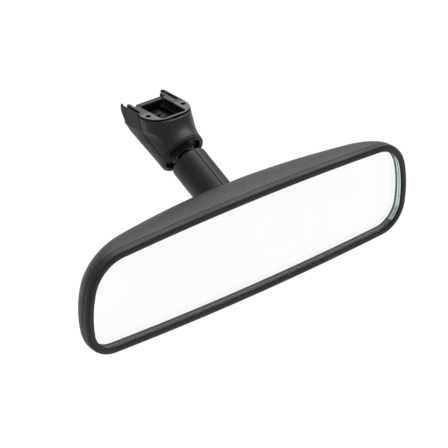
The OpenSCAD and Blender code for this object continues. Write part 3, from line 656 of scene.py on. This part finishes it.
# ---- domed housing with its round opening
class Dome:
    """Height of the domed back over the window's plane, and where lines along the arm meet it."""

    def __init__(self, grow, depth):
        self.grow, self.depth = grow, depth
        o = outline(grow, (700, 400, 400, 400, 700))
        angle = np.arctan2(o[:, 1], o[:, 0])
        order = np.argsort(angle)
        self.angle, self.reach = angle[order], np.hypot(o[:, 0], o[:, 1])[order]

    def share(self, x, z):
        a = np.arctan2(z, x)
        return np.hypot(x, z) / np.interp(a, self.angle, self.reach, period=2 * math.pi)

    def height(self, x, z):
        s = np.clip(self.share(x, z), 0, 1)
        full = self.depth - END_DROP * (x / (HALF_W + END_RIM)) ** 2 - EDGE_DROP * (z / (HALF_H + RIM)) ** 2
        return PARTING + full * np.sqrt(np.maximum(1 - s ** 8, 0))

    def opening(self, radius, angles):
        """Where the round way of that radius meets the dome, as x, y and z in the head's frame."""
        centre = LOWER_BALL - OPENING_SHIFT * ACROSS - HEAD
        x = centre[0] + radius * np.sin(angles)
        y0 = centre[1] + radius * np.cos(angles) * ACROSS[1]
        z0 = centre[2] + radius * np.cos(angles) * ACROSS[2]
        near, far = np.full(angles.shape, -6.0), np.full(angles.shape, 60.0)
        for _ in range(60):
            mid = (near + far) / 2
            y, z = y0 + mid * BACK_UP[1], z0 + mid * BACK_UP[2]
            within = (self.share(x, z) < 1) & (y < self.height(x, z))
            near, far = np.where(within, mid, near), np.where(within, far, mid)
        mid = (near + far) / 2
        return np.column_stack([x, y0 + mid * BACK_UP[1], z0 + mid * BACK_UP[2]])


def housing():
    outer, inner = Dome(RIM, DEPTH), Dome(RIM - WALL, DEPTH - WALL)
    edge_out, edge_in = outline(RIM, STEPS), outline(RIM - WALL, STEPS)
    n = len(edge_out)

    def matched(dome, edge, radius):
        """The opening's points that face the edge's points, seen from the opening's middle."""
        phi = np.linspace(0, 2 * math.pi, 1440, endpoint=False)
        dense = dome.opening(radius, phi)
        c = dense[:, [0, 2]].mean(0)
        a = np.arctan2(dense[:, 2] - c[1], dense[:, 0] - c[0])
        want = np.arctan2(edge[:, 1] - c[1], edge[:, 0] - c[0])
        order = np.argsort(a)
        phi = phi[order]
        sin = np.interp(want, a[order], np.sin(phi), period=2 * math.pi)
        cos = np.interp(want, a[order], np.cos(phi), period=2 * math.pi)
        return np.arctan2(sin, cos)

    roll = 0.9
    phis = matched(outer, edge_out, OPENING_R)
    top = outer.opening(OPENING_R + roll, phis)
    corner = outer.opening(OPENING_R, phis)
    rings = []
    rows = 44
    # Parting edge, from inside the wall out to the dome's foot
    parting_edge = [(RIM - WALL, 0.0), (RIM - 0.9, 0.0), (RIM - 0.3, 0.0), (RIM - 0.09, 0.06), (RIM, 0.28)]
    for g, rise in parting_edge:
        rings.append(window_ring(g, PARTING + rise))
    for k in range(1, rows + 1):
        t = (k / rows) ** 2
        xz = edge_out * (1 - t) + top[:, [0, 2]] * t
        y = outer.height(xz[:, 0], xz[:, 1])
        if k == 1:
            y = np.maximum(y, PARTING + 0.5)
        rings.append(np.column_stack([xz[:, 0], y, xz[:, 1]]))
    # Rolled edge of the opening, down onto its round wall
    deep = corner - 1.0 * BACK_UP
    for w in (0.2, 0.4, 0.6, 0.8, 1.0):
        rings.append((1 - w) ** 2 * top + 2 * w * (1 - w) * corner + w * w * deep)
    inner_top = inner.opening(OPENING_R, phis)
    inner_top = np.where((((corner - inner_top) @ BACK_UP) < 1.3)[:, None], corner - 1.3 * BACK_UP, inner_top)
    rings.append(inner_top)
    for k in range(rows - 1, 0, -2):
        t = (k / rows) ** 2
        xz = edge_in * (1 - t) + inner_top[:, [0, 2]] * t
        y = inner.height(xz[:, 0], xz[:, 1])
        rings.append(np.column_stack([xz[:, 0], np.maximum(y, PARTING + 0.2), xz[:, 1]]))
    obj = mesh_object("housing_shell", np.vstack(rings) + HEAD, bands(n, len(rings), True))
    right_way_out(obj)
    obj.data.set_sharp_from_angle(angle=math.radians(40))
    return obj


place(housing(), "head", housing_mat, ["rear_housing"])


# ---- arm covers, boot
ARM_REACH, ARM_END_R = 9.0, 2.2
ARM_R, ARM_WALL = 11.22, 1.3
NECK_R, BALL_TILT, MOVE_GAP = 3.2, math.radians(18), 0.4


def arm_half(side):
    """Half of the arm's round cover, with an opening at each end for the stud's neck."""
    low, high, r = -ARM_REACH, BALL_SPACING + ARM_REACH, ARM_END_R
    tube_r, easing = ARM_R - ARM_WALL, 0.15
    mouth = ARM_REACH * math.tan(BALL_TILT) + NECK_R / math.cos(BALL_TILT) + MOVE_GAP
    pts = [(mouth, low + easing), (mouth + easing, low)]
    pts += arc2(ARM_R - r, low + r, r, -90, 0, 10)
    pts += [(ARM_R, z) for z in np.linspace(low + r, high - r, 12)[1:-1]]
    pts += arc2(ARM_R - r, high - r, r, 0, 90, 10)
    pts += [(mouth + easing, high), (mouth, high - easing), (mouth, high - ARM_WALL)]
    pts += [(tube_r, high - ARM_WALL), (tube_r, low + ARM_WALL), (mouth, low + ARM_WALL)]
    name = "arm_cover_half_" + ("right" if side > 0 else "left")
    count = 72
    return turned(name, pts, UPPER_BALL, -BACK_UP, count, sharp=45, half=True, gap=0.05, side=side, edge=0.45)


for side, node in ((-1, "arm_cover_left"), (1, "arm_cover_right")):
    place(arm_half(side), "arm", arm_mat, [node])

# Boot: a flat disc in the mouth's depth, then two round ribs
boot_profile = [(4.25, 17.0), (11.65, 17.0), (11.7, 16.9), (11.7, 16.3), (11.6, 16.2)]
boot_profile += [(7.6, 16.2), (7.2, 16.1), (7.0, 15.95)]
boot_profile += arc2(7.0, 15.2, 0.62, 80, -80, 8) + [(6.95, 14.4)] + arc2(7.0, 13.75, 0.62, 80, -60, 8)
boot_profile += [(7.0, 13.15), (6.8, 13.0), (4.4, 13.0), (4.25, 13.1)]
boot_profile += [(4.25, 15.4), (5.55, 15.45), (5.55, 16.9)]
boot = turned("stud_boot_ring", boot_profile, UPPER_BALL, BACK_UP, 64, sharp=50)
place(boot, "foot", rubber_mat, ["stud_boot"])


# ---- foot
cell = 0.34
reach_x = FOOT_HALF + 1
shell = surface("foot_cover_shell", cover_field, (-reach_x, -27.5, -39.5), (reach_x, 24.6, 1.0), cell)
place(shell, "foot", cover_mat, ["foot_cover"])
front_cover = surface("foot_front_cover", panel_field, (-reach_x, -23.0, -23.5), (reach_x, 6.4, 0.0), cell)
place(front_cover, "foot", panel_mat, ["foot_front_panel"])
carrier = surface("foot_carrier", casting_field, (-reach_x, -21.0, -31.0), (reach_x, 21.2, 1.0), cell)
place(carrier, "foot", casting_mat, ["foot_casting"])
# Painted light: the flat top facing up gets a lighter grey standing for the overhead light on it, lighter in front
# and darker along the two arms
carrier.data.materials.append(painted_light_top_mat)
carrier.data.materials.append(painted_light_arm_top_mat)
for face in carrier.data.polygons:
    if face.center.z > -0.4 * MM and face.normal.z > 0.4:
        face.material_index = 1 if face.center.y < 3.5 * MM else 2


# ---- retaining clip: one bent strip
def clip():
    """The strip lies on the channel's floor, turns up at the open end, runs back level and ends in a short drop."""
    t, bend, hook = 0.6, 1.3, 0.9
    foot_y, rise_y, hook_y = 12.4, 13.7, 16.2
    bed, hook_z = -CHANNEL_DEPTH + t / 2, -1.4
    path = [(4.0, bed), (foot_y, bed)]
    path += arc2(foot_y, bed + bend, bend, -90, 0, 6)[1:]
    path += [(rise_y, -2.8), (rise_y, hook_z)]
    path += arc2(rise_y + hook, hook_z, hook, 180, 90, 6)[1:]
    path += [(hook_y, hook_z + hook)]
    path += arc2(hook_y, hook_z, hook, 90, 0, 6)[1:]
    path += [(hook_y + hook, -2.6)]
    path = np.array(path)
    step = np.diff(path, axis=0)
    length = np.concatenate([[0], np.cumsum(np.hypot(*step.T))])
    way = np.gradient(path, axis=0)
    way /= np.hypot(*way.T)[:, None]
    normal = np.column_stack([-way[:, 1], way[:, 0]])
    across = np.linspace(-1, 1, 21)
    wide_from = length[len(path) - 17]
    narrow, wide = 5.0, 8.5
    verts, faces = [], []
    for (y, z), (ny, nz), s in zip(path, normal, length):
        grow = np.clip((s - wide_from) / 1.2, 0, 1)
        half = narrow + (wide - narrow) * (3 * grow ** 2 - 2 * grow ** 3)
        for off in (-t / 2, t / 2):
            for a in across:
                verts.append((half * a, y + off * ny, z + off * nz))
    w, rows = len(across), len(path)
    for i in range(rows - 1):
        a, b = 2 * w * i, 2 * w * (i + 1)
        for k in range(w - 1):
            faces.append((a + k, a + k + 1, b + k + 1, b + k))
            faces.append((a + w + k, b + w + k, b + w + k + 1, a + w + k + 1))
        faces.append((a, b, b + w, a + w))
        faces.append((a + w - 1, a + 2 * w - 1, b + 2 * w - 1, b + w - 1))
    for k in range(w - 1):
        faces.append((k, w + k, w + k + 1, k + 1))
        e = 2 * w * (rows - 1)
        faces.append((e + k, e + k + 1, e + w + k + 1, e + w + k))
    obj = mesh_object("spring_clip", verts, faces, 40)
    right_way_out(obj)
    mod = obj.modifiers.new("edge", "BEVEL")
    mod.width, mod.segments, mod.limit_method, mod.angle_limit = 0.00012, 2, "ANGLE", math.radians(50)
    return obj


place(clip(), "foot", clip_mat, ["retaining_clip"])

# ---- floor, light, camera
floor_mat, floor_nt, floor_bsdf = tree("studio_floor")
floor_tone = tint(floor_nt, noise(floor_nt, coords(floor_nt), 1.5), (0.75, 0.75, 0.75), (0.77, 0.77, 0.77))
floor_nt.links.new(floor_tone, floor_bsdf.inputs["Base Color"])
floor_bsdf.inputs["Roughness"].default_value = 0.9
floor_bsdf.inputs["Specular IOR Level"].default_value = 0.1
floor_mesh = bpy.data.meshes.new("studio_floor")
reach, floor_z = 12.0, -0.42
corners = [(sx * reach, sy * reach, floor_z) for sx, sy in ((-1, -1), (1, -1), (1, 1), (-1, 1))]
floor_mesh.from_pydata(corners, [], [(0, 1, 2, 3)])
floor_mesh.materials.append(floor_mat)
floor = bpy.data.objects.new("studio_floor", floor_mesh)
bpy.context.scene.collection.objects.link(floor)

world = bpy.data.worlds.new("studio")
bpy.context.scene.world = world
world.use_nodes = True
sky = world.node_tree.nodes["Background"]
sky.inputs["Color"].default_value = (1.0, 1.0, 1.0, 1)
sky.inputs["Strength"].default_value = 0.55


def sun(name, toward, strength, angle):
    light = bpy.data.lights.new(name, "SUN")
    light.energy, light.angle = strength, math.radians(angle)
    obj = bpy.data.objects.new(name, light)
    obj.rotation_euler = Vector(toward).to_track_quat("Z", "Y").to_euler()
    bpy.context.scene.collection.objects.link(obj)
    return obj


sun("overhead_softbox", (0.45, 0.25, 0.85), 3.0, 60)

CAMERA_AT, CAMERA_TOWARD = (-0.6202, -0.7917, 0.4924), (0.5595, 0.6668, -0.4924)
cam_data = bpy.data.cameras.new("camera")
cam_data.lens, cam_data.sensor_width = 154.69, 36.0
cam_data.clip_start, cam_data.clip_end = 0.02, 60.0
camera = bpy.data.objects.new("camera", cam_data)
camera.location = CAMERA_AT
camera.rotation_euler = Vector(CAMERA_TOWARD).to_track_quat("-Z", "Y").to_euler()
bpy.context.scene.collection.objects.link(camera)
bpy.context.scene.camera = camera
bpy.context.scene.view_settings.view_transform = "Standard"
